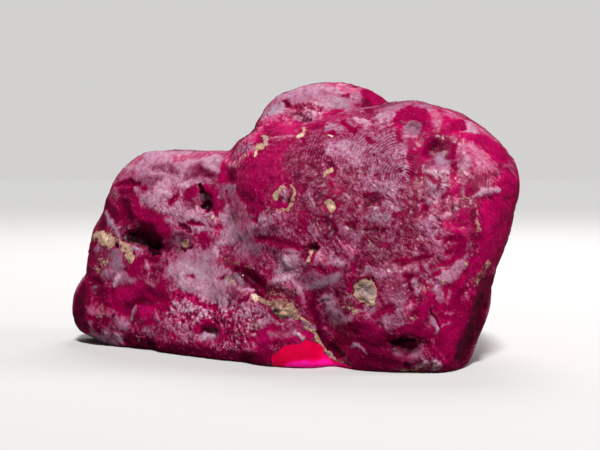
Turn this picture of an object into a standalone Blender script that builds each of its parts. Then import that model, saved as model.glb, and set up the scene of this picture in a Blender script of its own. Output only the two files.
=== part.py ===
"""Raw ruby crystal: one rounded lump of natural corundum, about 142 mm across.

+Z is up, +X is to the right and -Y is to the front. The origin is at the middle of the base, on the resting
plane. Lobes are shaped as pebbles, fused in one skin, roughened, pitted with hollows and cut flat to rest.
"""

import bisect
import math
import random
from collections import namedtuple

import bmesh
import bpy
from mathutils import Vector, noise
from mathutils.bvhtree import BVHTree

NAME = "ruby_crystal"
MM = 0.001

# Every length below is in millimetres, until centred_in_metres() scales the finished mesh.
VOXEL = 1.3
SOFTENING_ROUNDS = 6
POLISH = 0.5
TRIANGLES_BEFORE_LEVELLING = 11000
RINGS = 40
SPOKES = 80
CURVE_STEPS = 8

# A lobe's widest section is a closed outline of (x, z) points in the upright plane y = middle. From there it
# bulges by `front` towards -Y and by `back` towards +Y. Each bulge thins by its lean for every mm of height, and
# the whole lobe moves back by its skew for every mm to the right. Roundness 2 makes an ellipsoid, and more makes
# flatter faces with tighter edges.
Lobe = namedtuple("Lobe", "centre outline middle front back front_lean back_lean skew roundness")

LOBES = {
    "main_block": Lobe(
        centre=(28, 36),
        outline=[
            (-15.5, 64), (-10.5, 68.6), (6, 72), (20, 75.3), (33, 77.3), (41, 78), (50, 75.9), (59, 71.8),
            (66.0, 65.6), (70.4, 58.8), (71.3, 50.8), (69.2, 42), (64.4, 28.4), (61.8, 16), (57.8, 4),
            (50, -9), (30, -11), (18, -6), (12, 6), (4, 14.5), (-8.5, 26), (-15, 35), (-16.5, 48),
        ],
        middle=-5, front=42, back=46, front_lean=0.28, back_lean=0.2, skew=-0.22, roundness=2.9,
    ),
    "crown": Lobe(
        centre=(12, 58),
        outline=[
            (-10, 68), (-7.4, 74), (-2, 79.6), (5, 83.4), (15.7, 85.3), (24.7, 84.3), (31.6, 80.4),
            (38, 72), (40, 52), (26, 36), (0, 38), (-11, 52),
        ],
        middle=8, front=21, back=32, front_lean=0.35, back_lean=0.2, skew=0.0, roundness=2.6,
    ),
    "left_shoulder": Lobe(
        centre=(-32, 30),
        outline=[
            (-18, 62.6), (-31, 62.8), (-43, 63.1), (-49, 60.8), (-54.5, 55), (-58.2, 48.3), (-61, 41),
            (-65, 35), (-65.4, 25), (-62, 12), (-56, -6), (-36, -10), (-12, -6), (2, 20), (-2, 50),
        ],
        middle=12, front=19, back=30, front_lean=0.1, back_lean=0.15, skew=-0.45, roundness=2.6,
    ),
    "left_toe": Lobe(
        centre=(-56, 12),
        outline=[
            (-60, 26), (-67, 19.6), (-70, 11.3), (-69.4, 6.5), (-66.5, 2.6), (-58, 0.5), (-46, -3),
            (-42, 12), (-50, 26),
        ],
        middle=20, front=15, back=16, front_lean=0.1, back_lean=0.1, skew=-0.4, roundness=2.3,
    ),
    "front_ledge": Lobe(
        centre=(-20, 8),
        outline=[
            (-42, 26), (-30, 31), (-18, 34), (-6, 32), (6, 26), (15, 15), (18, 4), (16, -8), (-20, -12),
            (-46, -7), (-54, 4), (-52, 16),
        ],
        middle=5, front=26, back=20, front_lean=0.4, back_lean=0.0, skew=-0.75, roundness=2.6,
    ),
    "saddle": Lobe(
        centre=(0, 22),
        outline=[
            (-25, 28), (-18, 40), (-4, 45), (12, 40), (20, 24), (20, 4), (12, -14), (-8, -16), (-22, -2),
            (-26, 15),
        ],
        middle=0, front=37, back=20, front_lean=0.35, back_lean=0.0, skew=-0.5, roundness=2.3,
    ),
    "rear_mass": Lobe(
        centre=(6, 26),
        outline=[
            (-46, 46), (-22, 60), (8, 68), (38, 64), (56, 50), (60, 30), (54, 4), (44, -8), (0, -12),
            (-44, -9), (-54, 8), (-54, 28),
        ],
        middle=22, front=24, back=30, front_lean=0.0, back_lean=0.25, skew=0.0, roundness=2.6,
    ),
}

FRONT = -1
BACK = 1

# Each dent is pressed in where a level line through (x, z) meets the front or the back. Its two spans are
# measured across the surface. Its tilt turns the first span up from the right, as seen from its own side, and
# a negative depth raises a knob.
Dent = namedtuple("Dent", "x z side wide high tilt depth")

DENTS = [
    Dent(-43, 35.5, FRONT, 13, 10, -20, 8),
    Dent(-24, 47.5, FRONT, 7, 10, 0, 6),
    Dent(-60, 20, FRONT, 8, 10, 0, 4),
    Dent(-51, 12, FRONT, 4, 6, 0, 3),
    Dent(-21, 8, FRONT, 11, 8, 0, 4),
    Dent(-9, 24, FRONT, 18, 9, -35, 4),
    Dent(12, 8, FRONT, 8, 24, 25, 3),
    Dent(39, 70, FRONT, 9, 8, 0, 3),
    Dent(47, 63, FRONT, 14, 14, 0, 4),
    Dent(36, 8, FRONT, 18, 7, 0, 4),
    Dent(24, 21, FRONT, 7, 7, 0, 2.5),
    Dent(1, 47, FRONT, 7, 8, 0, 2),
    Dent(-30, 40, BACK, 22, 18, 20, 5),
    Dent(22, 24, BACK, 30, 14, -25, 5),
    Dent(44, 50, BACK, 16, 20, 10, 4),
    Dent(-2, 62, BACK, 18, 9, 0, 3),
    Dent(-40, 14, BACK, 24, 12, -10, -3),
    Dent(8, 42, BACK, 26, 16, 30, -3),
]

# Small knocks and knobs round the sides and the back, so that no side is plain
KNOCKS = 70
KNOCK_SEED = 11
KNOCK_SPAN = (6.0, 15.0)
KNOCK_DEPTH = (-0.9, 1.6)
KNOCK_HEIGHTS = (2.0, 80.0)
KNOCK_PLACES = (-50, 60)

# Fine unevenness: (size of its waves, height), stronger behind than in front
WAVES = [(22.0, 1.6), (9.0, 0.7)]
FRONT_SHARE = 0.35
CALM_FROM = -10.0
ROUGH_FROM = 25.0

# Longer than the stone, for the lines that find its surface and for the box that cuts its foot
REACH = 200.0
FOOT_CUTTER_DEPTH = 40.0

RUBY_COLOUR = (0.29, 0.03, 0.08, 1.0)
RUBY_ROUGHNESS = 0.38
SHARP_FROM = 50


def clear_scene():
    for thing in list(bpy.data.objects):
        bpy.data.objects.remove(thing, do_unlink=True)


def new_collection(name):
    collection = bpy.data.collections.new(name)
    bpy.context.scene.collection.children.link(collection)
    return collection


def new_object(name, mesh, collection):
    thing = bpy.data.objects.new(name, mesh)
    collection.objects.link(thing)
    return thing


def ruby_material():
    material = bpy.data.materials.new(NAME)
    material.use_nodes = True
    shader = material.node_tree.nodes["Principled BSDF"]
    shader.inputs["Base Color"].default_value = RUBY_COLOUR
    shader.inputs["Roughness"].default_value = RUBY_ROUGHNESS
    shader.inputs["Metallic"].default_value = 0.0
    return material


def closed_curve(points):
    """Points along a smooth closed Catmull-Rom curve through the outline."""
    count = len(points)
    curve = []
    for i in range(count):
        a, b, c, d = (Vector(points[(i + k) % count]) for k in (-1, 0, 1, 2))
        for step in range(CURVE_STEPS):
            t = step / CURVE_STEPS
            along = 2 * b + (c - a) * t + (2 * a - 5 * b + 4 * c - d) * t**2 + (3 * b - a - 3 * c + d) * t**3
            curve.append(along / 2)
    return curve


def radius_by_angle(outline, centre):
    """A function that gives the outline's distance from its centre in any direction."""
    spokes = sorted((math.atan2(p.y - centre[1], p.x - centre[0]), math.dist(p, centre)) for p in
                    closed_curve(outline))
    turn = 2 * math.pi
    spokes = [(spokes[-1][0] - turn, spokes[-1][1])] + spokes + [(spokes[0][0] + turn, spokes[0][1])]
    angles = [angle for angle, _ in spokes]

    def radius(angle):
        after = min(max(bisect.bisect(angles, angle), 1), len(angles) - 1)
        (low, near), (high, far) = spokes[after - 1], spokes[after]
        return near + (far - near) * (angle - low) / max(high - low, 1e-9)

    return radius


def add_lobe(stone, lobe):
    """A sphere whose poles face front and back, drawn out to the lobe's outline and thickness."""
    ball = bmesh.ops.create_uvsphere(stone, u_segments=SPOKES, v_segments=RINGS, radius=1.0)
    radius = radius_by_angle(lobe.outline, lobe.centre)
    for vertex in ball["verts"]:
        across = math.hypot(vertex.co.x, vertex.co.y)
        angle = math.atan2(vertex.co.y, vertex.co.x)
        spread = across ** (2 / lobe.roundness) * radius(angle)
        bulge = abs(vertex.co.z) ** (2 / lobe.roundness)
        height = spread * math.sin(angle)
        if vertex.co.z > 0:
            y = lobe.middle - bulge * (lobe.front - lobe.front_lean * height)
        else:
            y = lobe.middle + bulge * (lobe.back - lobe.back_lean * height)
        aside = spread * math.cos(angle)
        vertex.co = (lobe.centre[0] + aside, y + lobe.skew * aside, lobe.centre[1] + height)


def fuse(stone, collection):
    """One skin around all the lobes, with their creases softened."""
    mesh = bpy.data.meshes.new("lobes")
    stone.to_mesh(mesh)
    lobes = new_object("lobes", mesh, collection)
    remesh = lobes.modifiers.new("fuse", "REMESH")
    remesh.mode = "VOXEL"
    remesh.voxel_size = VOXEL
    soften = lobes.modifiers.new("soften", "SMOOTH")
    soften.iterations = SOFTENING_ROUNDS
    return evaluated(lobes)


def evaluated(thing):
    """The object's finished mesh, with the object itself removed."""
    bpy.context.view_layer.update()
    graph = bpy.context.evaluated_depsgraph_get()
    mesh = bpy.data.meshes.new_from_object(thing.evaluated_get(graph), depsgraph=graph)
    bpy.data.objects.remove(thing, do_unlink=True)
    return mesh


def press(stone, place, inward, wide, high, tilt, depth):
    """Move the skin near a place along one direction, fading out smoothly towards the dent's rim."""
    right = Vector((inward.y, -inward.x, 0)).normalized()
    up = right.cross(inward)
    turn = math.radians(tilt)
    first = right * math.cos(turn) + up * math.sin(turn)
    second = up * math.cos(turn) - right * math.sin(turn)
    thick = max(wide, high)
    for vertex in stone.verts:
        offset = vertex.co - place
        reach = (2 * offset.dot(first) / wide) ** 2 + (2 * offset.dot(second) / high) ** 2
        reach += (offset.dot(inward) / thick) ** 2
        if reach < 1:
            vertex.co += inward * depth * (1 - reach) ** 2


def press_dents(stone):
    for dent in DENTS:
        tree = BVHTree.FromBMesh(stone)
        start = Vector((dent.x, dent.side * REACH, dent.z))
        place, normal, _, _ = tree.ray_cast(start, Vector((0, -dent.side, 0)))
        press(stone, place, -normal, dent.wide, dent.high, dent.tilt, dent.depth)


def press_knocks(stone):
    """Seeded knocks, each found by a level line from the side or the back towards the middle."""
    draw = random.Random(KNOCK_SEED)
    tree = BVHTree.FromBMesh(stone)
    for _ in range(KNOCKS):
        heading = draw.uniform(0, math.pi)
        height = draw.uniform(*KNOCK_HEIGHTS)
        outward = Vector((math.cos(heading), math.sin(heading), 0))
        start = Vector((draw.uniform(*KNOCK_PLACES), 0, height)) + REACH * outward
        wide = draw.uniform(*KNOCK_SPAN)
        high = draw.uniform(*KNOCK_SPAN)
        tilt = draw.uniform(0, 180)
        depth = draw.uniform(*KNOCK_DEPTH)
        place, normal, _, _ = tree.ray_cast(start, -outward)
        if place is not None:
            press(stone, place, -normal, wide, high, tilt, depth)


def add_waves(stone):
    stone.normal_update()
    moves = []
    for vertex in stone.verts:
        share = (vertex.co.y - CALM_FROM) / (ROUGH_FROM - CALM_FROM)
        strength = FRONT_SHARE + (1 - FRONT_SHARE) * min(max(share, 0.0), 1.0)
        rise = sum(height * noise.noise(vertex.co / size) for size, height in WAVES)
        moves.append(vertex.normal * rise * strength)
    for vertex, move in zip(stone.verts, moves):
        vertex.co += move


def polish(stone):
    bmesh.ops.smooth_vert(
        stone, verts=stone.verts, factor=POLISH, use_axis_x=True, use_axis_y=True, use_axis_z=True
    )


def foot_cutter(collection):
    """A box whose top is the resting plane."""
    box = bmesh.new()
    bmesh.ops.create_cube(box, size=1.0)
    bmesh.ops.scale(box, verts=box.verts, vec=(REACH, REACH, FOOT_CUTTER_DEPTH))
    bmesh.ops.translate(box, verts=box.verts, vec=(0, 0, -FOOT_CUTTER_DEPTH / 2))
    mesh = bpy.data.meshes.new("foot_cutter")
    box.to_mesh(mesh)
    box.free()
    cutter = new_object("foot_cutter", mesh, collection)
    cutter.hide_render = True
    cutter.display_type = "WIRE"
    return cutter


def thin_and_level(mesh, parts, cutters):
    """Fewer triangles, and then a flat foot."""
    stone = new_object(NAME, mesh, parts)
    triangles = sum(len(face.vertices) - 2 for face in mesh.polygons)
    thin = stone.modifiers.new("thin", "DECIMATE")
    thin.ratio = TRIANGLES_BEFORE_LEVELLING / triangles
    level = stone.modifiers.new("level", "BOOLEAN")
    level.operation = "DIFFERENCE"
    level.solver = "EXACT"
    level.object = foot_cutter(cutters)
    return evaluated(stone)


def centred_in_metres(mesh):
    """Put the middle of the stone's width and depth at the origin, and scale its millimetres to metres."""
    xs = [vertex.co.x for vertex in mesh.vertices]
    ys = [vertex.co.y for vertex in mesh.vertices]
    middle = Vector(((min(xs) + max(xs)) / 2, (min(ys) + max(ys)) / 2, 0))
    for vertex in mesh.vertices:
        vertex.co = (vertex.co - middle) * MM
    mesh.update()


def build():
    clear_scene()
    parts = new_collection(NAME + "_parts")
    cutters = new_collection("cutters")
    stone = bmesh.new()
    for lobe in LOBES.values():
        add_lobe(stone, lobe)
    mesh = fuse(stone, parts)
    stone.clear()
    stone.from_mesh(mesh)
    press_dents(stone)
    press_knocks(stone)
    add_waves(stone)
    polish(stone)
    stone.to_mesh(mesh)
    stone.free()
    mesh = thin_and_level(mesh, parts, cutters)
    centred_in_metres(mesh)
    mesh.materials.clear()
    mesh.materials.append(ruby_material())
    mesh.shade_smooth()
    mesh.set_sharp_from_angle(angle=math.radians(SHARP_FROM))
    new_object(NAME, mesh, parts)


build()
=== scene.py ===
import math
import random
from collections import namedtuple

import bmesh
import bpy
import numpy as np
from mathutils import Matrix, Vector, noise
from mathutils.bvhtree import BVHTree


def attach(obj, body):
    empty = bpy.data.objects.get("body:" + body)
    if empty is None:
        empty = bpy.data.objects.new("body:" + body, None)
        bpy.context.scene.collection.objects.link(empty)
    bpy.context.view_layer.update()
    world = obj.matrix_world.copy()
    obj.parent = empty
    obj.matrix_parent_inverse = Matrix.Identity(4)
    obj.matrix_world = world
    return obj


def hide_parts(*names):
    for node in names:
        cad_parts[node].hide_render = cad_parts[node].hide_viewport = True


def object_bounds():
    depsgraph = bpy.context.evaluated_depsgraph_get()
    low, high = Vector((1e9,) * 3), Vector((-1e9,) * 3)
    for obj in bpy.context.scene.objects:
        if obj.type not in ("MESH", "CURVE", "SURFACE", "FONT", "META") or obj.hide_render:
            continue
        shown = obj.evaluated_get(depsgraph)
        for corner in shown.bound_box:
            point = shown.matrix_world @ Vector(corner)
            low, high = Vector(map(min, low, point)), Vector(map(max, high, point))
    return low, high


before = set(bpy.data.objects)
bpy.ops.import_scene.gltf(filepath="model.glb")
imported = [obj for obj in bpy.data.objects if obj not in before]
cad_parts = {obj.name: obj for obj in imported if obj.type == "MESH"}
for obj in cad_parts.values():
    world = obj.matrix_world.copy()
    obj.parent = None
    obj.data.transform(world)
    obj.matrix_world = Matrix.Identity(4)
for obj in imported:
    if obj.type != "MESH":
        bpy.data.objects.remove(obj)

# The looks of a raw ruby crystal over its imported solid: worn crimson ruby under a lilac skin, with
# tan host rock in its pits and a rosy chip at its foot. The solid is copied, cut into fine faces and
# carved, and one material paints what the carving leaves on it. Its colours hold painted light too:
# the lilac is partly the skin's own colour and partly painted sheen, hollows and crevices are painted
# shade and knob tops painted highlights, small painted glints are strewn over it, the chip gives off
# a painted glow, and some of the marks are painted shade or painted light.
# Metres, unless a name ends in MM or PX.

MM = 0.001
NOISE_SEED = 11
MARK_SEED = 7
SEED_STEP = (7.3, 3.1, 5.7)
OCTAVES = 2

# The camera, and the photograph's frame that it matches
FRAME_PX = (600, 450)
LENS_MM = 85.0
SENSOR_MM = 36.0
CAMERA_PLACE_MM = (4.965, -450.919, 60.4)
CAMERA_DROP = math.radians(2.627)
FOCAL_PX = LENS_MM / SENSOR_MM * FRAME_PX[0]
STONE_DISTANCE_MM = 450.0
PX_MM = STONE_DISTANCE_MM / FOCAL_PX

# The mesh. A face is cut finer when the camera sees enough of it, and again when enough of it is fine marks.
COARSE_MM = 1.22
FACET_ROUNDS = 9
SEEN_SHARE = 0.25
FINE_SHARE = 0.4
FINE_REACH = -0.1
FACING_EDGE = (0.02, 0.22)
CLEARANCE_MM = 0.4
SIGHT_ROUNDS = 2
FINE_MARKS = {"tan", "cream", "olive", "black", "chip", "pit"}
LARGEST_FINE_PX = 11

# Where a stroke's pull or bowl starts and where it is full, in shares of the way from edge to middle line
CRISP_MARKS = {"tan", "cream", "olive", "black", "chip", "clear"}
CRISP_EDGE = (-0.15, 0.40)
SOFT_EDGE = (-0.45, 0.70)
BOWL_EDGE = (-0.05, 0.95)
FAR_OUTSIDE = -2.0
BOX_MARGIN = 1.5

# How marks stray from their strokes: sizes in mm, reaches in pixels or mm, and seeds
PLACED_STRAY_PX = ((5, 3.0, 11), (1.6, 1.8, 12))
HIDDEN_STRAY_MM = ((4, 2.2, 23), (1.4, 0.9, 24))


def grown(skin, tone, **others):
    """What a word for ruby or skin asks for. Both cover rock and the painted shade of hollows."""
    return {"rock": 0.0, "hollow_shade": 0.0, "skin": skin, "tone": tone, **others}


# Each word of a mark pulls surface values to its targets. Depth is in shares of the stroke's half width.
# The words for black hollows and dusk paint shade into hollows, the word for the darkest ruby paints shade
# where the stone turns away from the light, and the word for the brightest rosy colour paints light where
# the stone lies in shade. Pale marks are in places painted glints and highlights.
TARGETS = {
    "bare": grown(-1.1, 0.15),
    "crimson": grown(-1.0, -0.25),
    "maroon": grown(-0.7, -0.95),
    "deep": grown(-1.0, -1.5),
    "pink": grown(-0.6, 0.6),
    "magenta": grown(-0.5, 0.38),
    "rosy": grown(0.4, 0.65),
    "rose": grown(0.5, 0.6),
    "warm": grown(0.22, 1.15),
    "haze": grown(0.28, -0.35),
    "plum": grown(0.2, -0.7),
    "mauve": grown(0.7, -0.6),
    "lilac": grown(0.95, 0.0),
    "milky": grown(1.3, 0.65),
    "pale": grown(1.2, 1.1),
    "violet": grown(0.95, 0.3, cool=0.8),
    "slate": grown(1.0, -0.1, cool=1.0),
    "tan": {"rock": 1.0, "rock_tone": 0.1},
    "sandy": {"rock": 0.45, "rock_tone": 0.2},
    "cream": {"rock": 1.0, "rock_tone": 0.9},
    "olive": {"rock": 0.9, "rock_tone": -0.5},
    "brown": {"rock": 0.38, "rock_tone": -0.6},
    "stone": {"rock": 1.0, "rock_tone": 0.6, "cool": 1.0},
    "black": {"hollow_shade": 1.0, "skin": -0.5, "rock": 0.0},
    "dusk": {"hollow_shade": 0.45},
    "smooth": {"grain": 0.0},
    "clear": {"grain": 0.0},
    "grain": {"grain": 1.0},
    "ripple": {"ripple": 1.0},
    "ripply": {"ripple": 0.5},
    "chip": {"rock": 0.0, "hollow_shade": 0.0, "chip": 1.0, "grain": 0.0},
    "red": {"tone": -0.8},
    "rich": {"tone": 0.9},
    "pit": {},
    "dip": {},
    "ridge": {},
    "crease": {},
}
DEPTHS = {
    "pit": -0.95, "dip": -0.35, "ridge": 0.45, "crease": -0.9, "tan": 0.12, "cream": 0.15, "olive": 0.06,
    "lilac": 0.07, "milky": 0.07, "pale": 0.12, "slate": 0.05, "crimson": -0.12, "maroon": -0.16,
    "deep": -0.16, "bare": -0.05,
}


def strokes(text):
    """Each line is a stroke: its words, then its chain of stops, each across, down and half width."""
    rows = [line.split(":") for line in text.strip().splitlines()]
    return [(words.strip(), [tuple(map(float, stop.split())) for stop in chain.split(",")])
            for words, chain in rows]


# What grows where on the side that the photograph shows, in pixels of the photograph's frame.
# A later stroke covers an earlier one.
# Among the bases, those low on the right and the maroon one at the toe's left are painted shade where the
# stone turns away and down, and the rosy one at the toe's foot is painted light where it curves under.
BASES_PX = strokes("""
milky smooth: 140 168 26, 185 166 24, 212 162 18
rose: 150 202 14, 168 206 14
milky: 176 210 15, 196 222 14, 224 220 10
rosy smooth: 392 108 12, 430 116 14
magenta smooth: 450 122 16, 482 148 22
rosy: 275 118 16, 335 112 16
magenta: 255 172 32, 278 190 26
haze: 320 150 22, 350 165 28
lilac: 372 150 22, 398 164 22
haze: 330 185 24, 400 195 28
plum: 318 218 26, 350 248 32, 400 236 24, 335 300 26
haze: 412 246 20, 442 272 20, 398 284 26
haze: 240 238 16, 278 260 20
milky smooth: 192 270 22, 226 286 14
milky grain: 185 312 22, 236 326 26
rose: 182 292 10, 206 298 10
rose: 224 316 12, 246 316 10
crimson smooth: 135 298 20, 160 300 12
maroon smooth: 82 296 14, 80 315 10
rosy: 95 338 8, 124 340 7
bare clear: 508 190 16, 496 232 19, 488 258 12
crimson smooth: 456 300 20, 452 350 22
maroon smooth: 470 345 12, 462 362 10
deep smooth: 492 290 8, 484 315 10, 474 345 9
maroon clear: 488 285 13, 480 320 14, 466 355 14
crimson: 345 330 14, 385 350 18
""")
# The rosy strokes along the top edge are painted rim light, and the black and dusk strokes in and round the
# cave are painted shade.
SHOULDER_PX = strokes("""
rosy smooth: 112 178 4, 128 163 5, 146 156 4
milky smooth: 150 154 6, 190 153 6
rosy smooth: 196 152 3, 225 152 3
pale smooth: 128 169 4, 136 168 3
rosy smooth: 122 175 5, 134 176 6
milky smooth: 150 164 6, 146 176 6
mauve smooth: 140 182 6, 158 182 6
pale smooth: 158 189 5, 168 192 6
milky: 168 200 6
mauve smooth: 157 168 4, 170 171 6, 178 174 4
mauve dip smooth: 186 177 5, 200 171 7, 212 176 5
plum smooth: 198 170 5, 208 174 4
violet smooth: 180 168 4
rosy smooth: 176 161 3, 196 158 3, 218 154 3
violet smooth: 217 163 5, 222 172 4
crimson crease smooth: 120 184 4, 132 184 5, 139 184 3
maroon smooth: 124 192 5, 132 193 4
crimson: 145 187 3
haze smooth: 110 190 5, 118 197 4
brown: 114 194 4
maroon smooth: 108 205 6, 114 216 7
maroon smooth dip: 124 206 8, 128 218 8
dusk: 126 216 7
bare smooth: 137 200 4, 138 210 5
milky: 146 198 6, 158 201 8, 168 208 7
rosy: 166 216 4
pit black: 129 236 6, 142 236 9, 156 245 7
dusk: 136 226 8, 146 240 13, 160 246 11
dusk: 119 236 5, 127 226 6, 136 218 5
dusk: 146 253 5, 168 249 6
crimson ridge smooth: 140 213 6, 152 222 10, 163 231 8
crimson clear: 139 211 4, 154 221 8, 164 230 6
maroon smooth: 147 231 2.5, 161 240 2.5
slate ridge smooth: 107 212 2, 113 224 2.5, 119 236 3
maroon smooth: 101 218 5, 106 232 4
crimson smooth: 91 234 5, 91 262 5
haze smooth: 112 252 16
sandy: 100 236 9, 112 240 8
tan: 102 236 6, 108 242 7
cream: 106 239 3
sandy: 124 241 6, 128 252 7, 133 258 6
tan: 125 244 3.5, 129 251 4, 132 258 3.5
sandy: 104 262 6, 110 258 5
sandy: 101 270 3, 89 271 2.4
slate smooth: 98 250 4
plum smooth: 105 250 4, 108 256 3
slate smooth: 117 254 5, 118 268 6
slate: 132 247 3.5, 140 249 3
black pit: 116 245 3
black: 126 238 5, 136 241 6, 150 245 6, 159 246 6
black: 151 251 4, 159 254 3
maroon smooth: 147 258 3, 158 260 3
crimson smooth: 141 261 5, 136 270 6, 130 277 4
tan: 130 254 4, 132 261 3
""")
# The black and dusk strokes in the holes and the black crease are painted shade, the milky and rosy strokes
# in the valley by the block are painted light over its shade, and the pale stroke on the lilac below is
# painted glints.
SECOND_HOLE_PX = strokes("""
pit black: 200 185 2.4, 202 197 5.5, 209 206 5
slate clear: 201 198 4.5, 206 201 4
dusk: 202 200 7, 210 209 6
black: 203 205 4, 211 210 4.5
crimson ridge clear: 205 188 3.5, 214 194 5, 219 204 5, 220 213 4
deep: 216 208 3
cream: 215 219 3
sandy: 224 216 2
crimson smooth: 194 190 4.5, 187 196 3
crimson: 178 196 2.5, 172 203 3
plum smooth: 186 204 4, 196 205 4
pale: 184 187 2.5, 190 186 2
bare clear ridge: 232 165 5, 227 172 7, 222 179 5
crimson clear: 231 170 6
maroon smooth: 232 177 4
crease black: 235 181 1.6, 236 192 1.4
mauve smooth: 222 187 4, 224 198 3
slate smooth: 231 187 5, 231 200 4
maroon crease: 228 190 1.2, 229 204 1.5
pale: 220 198 1.4
crimson clear: 222 208 5
milky: 232 210 8, 246 213 9
lilac: 233 208 4, 240 212 4
crimson: 251 211 5
rosy clear: 233 196 6, 238 212 9, 246 226 8
smooth: 232 205 12, 240 225 14, 250 245 14
dip: 182 243 12
plum smooth: 172 242 4, 180 235 4, 192 240 4, 188 251 4
dusk: 170 240 3, 177 234 2.5, 188 234 2.5, 196 242 2
brown: 184 242 5, 178 252 5
olive: 184 243 5
dusk: 168 243 7, 178 249 7
black: 175 240 1.4, 184 251 1.6, 193 246 1.4
slate: 178 241 4
maroon crease: 181 222 1.4, 190 232 1.6
crimson crease: 190 224 2.4, 202 226 2
violet: 200 219 4, 210 220 3
crimson smooth: 203 236 4, 208 240 3
crimson: 204 246 1.8, 210 252 2.2
rosy: 218 224 5, 218 236 4
pink: 220 228 3
lilac smooth: 190 256 8, 206 256 9, 214 250 6
violet smooth: 215 250 5, 206 264 7
pale: 217 247 2.4, 218 256 2.4
""")
# The rosy strokes along the crown's top edge and up the block's upper left edge are painted rim light, and
# the brightest pink strokes at the upper left are painted light where it lies in shade.
CROWN_PX = strokes("""
lilac smooth: 285 104 9, 310 97 11
lilac smooth: 326 98 10, 350 98 11, 362 102 6
milky: 380 119 7, 392 114 6
violet smooth: 300 98 5, 318 95 5
milky smooth: 300 90 4, 325 88 4, 346 91 5
rosy smooth: 262 112 4, 280 97 3, 300 88 2.5, 320 84 2
rosy smooth: 330 85 3, 352 90 4, 362 93 4
slate smooth: 274 111 4, 282 107 5
slate smooth: 332 103 5, 344 105 5
maroon crease smooth: 284 102 2, 287 107 3
crimson crease: 288 109 2.2, 301 106 1.8, 314 105 1.4
crimson: 343 98 2, 348 96 3
crimson clear: 368 97 8, 377 102 8, 384 105 4
maroon clear: 366 104 5, 369 108 6
bare clear: 372 96 4
crimson smooth: 382 103 3, 394 106 2
maroon smooth: 252 128 3, 260 117 3
sandy: 263 121 4, 269 112 4
milky: 264 118 8, 280 114 8
rosy: 270 124 7, 288 119 7, 310 110 8
pink: 262 129 6, 280 124 8, 300 126 6
milky: 300 112 6, 316 112 8, 310 120 5
rosy: 322 118 7
pink: 330 117 6, 342 114 5
lilac grain: 298 114 5, 308 118 5
rosy grain: 300 108 4, 322 109 4
bare: 312 126 4, 321 125 3
bare: 328 119 4, 340 114 4
bare: 264 133 4, 278 134 4
crimson: 256 139 4, 268 133 3
pink smooth: 284 131 5, 292 133 4
ridge rosy: 272 139 2, 285 138.5 2, 296 139.5 1.6
stone: 266 137 3, 267 143 3
warm: 242 158 6, 250 150 6
warm: 262 121 5, 274 120 6, 290 122 5
tan: 258 146 3.4, 264 146 2.4
cream: 258 150 2, 257 155 1.4
brown: 296 131 3.4
cream: 298 138 3.2, 302 134 2
tan: 304 131 2.4
sandy: 305.5 147 2
violet: 329 128 5, 338 130 5
crimson clear dip: 333 135 5
cream: 330.5 137 2, 331 139 2.6
crimson clear dip: 344 124 4, 350 128 3.4, 357 130 3.5
violet: 349 121 1.6, 354 126 1.2
pale: 357 119 3, 366 124 4
crimson clear dip: 368 138 3.5, 372 142 4
warm: 235 164 7, 243 150 7, 256 135 5, 264 124 5
sandy: 240 160 2.2, 248 154 1.8
lilac: 243 148 5, 252 146 3
rosy: 232 150 3, 245 142 3, 256 130 2
""")
# The dusk strokes are painted shade in the dips, and the milky strokes at the face's left are painted light
# over the valley's shade.
FACE_PX = strokes("""
magenta: 250 165 7, 284 150 8
pink: 262 183 7, 258 194 5
crimson: 246 196 9, 262 206 7
haze: 292 160 10, 300 176 9
haze: 345 176 16
lilac: 378 176 18, 392 190 14
milky: 332 150 7, 346 146 8, 356 158 10
plum: 312 172 9, 316 192 10, 304 200 7
ripple lilac: 386 146 10, 404 158 11, 404 176 9
ripply: 362 146 14, 382 160 16, 388 180 12
ripply: 316 150 10, 332 160 12
crimson dip: 328 164 5, 333 172 6
haze: 336 166 2.4, 324 166 2
tan: 324 174 1.6, 330 170 2
bare: 330 186 5, 338 190 5
crimson smooth: 334 188 4
violet: 308 190 3, 313 204 3
plum: 285 197 9
tan: 283 186 1.6, 278 192 2, 275 200 1.6
tan: 291 184 1.6, 294 190 2.2, 293 200 2.6, 289 208 2.4
sandy: 276 211 2.4, 285 209 2.6
pale: 284 192 5, 284 200 4
bare smooth: 281 204 3.4, 286 205 2.4
crimson dip: 330 205 9
dusk: 328 215 4, 337 213 3
slate: 331 215 2
tan ridge: 329.5 203 5, 330.5 208 4.5
cream: 331 208 2.4, 329 203 2
maroon dip: 366 197 6, 376 199 7, 366 205 4
slate: 378 210 4, 374 218 6, 386 220 6
dusk: 384 222 4, 391 214 2.5
sandy: 371 208 2.6
violet: 386 204 3.4, 394 209 4
crimson: 396 216 4, 406 217 4
maroon crease: 364 231 1.8, 376 229 2, 386 231 1.8
haze: 378 237 5
sandy: 377 237 2.4, 383 239 1.8
dusk: 379 244 2.4
crimson: 385 245 3.4
maroon: 350 221 4, 352 231 3
mauve smooth: 345 232 6, 358 236 6
rosy: 352 250 6, 344 246 4
crimson: 306 214 6, 304 228 5
haze: 298 222 3, 288 226 5
lilac: 313 230 5, 318 234 4
milky: 222 243 7, 268 220 7
maroon dip: 330 222 6, 334 230 6
dusk: 332 231 5
brown: 337 232 2
lilac: 268 214 6, 280 216 6
mauve: 262 230 7, 280 232 8
haze: 292 236 6
crimson: 246 219 4, 256 219 4
milky: 228 230 9, 248 230 9
crimson dip: 262 239 3, 282 243 4, 298 246 4
lilac: 332 262 5, 342 264 5
slate: 340 262 4
""")
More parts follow.
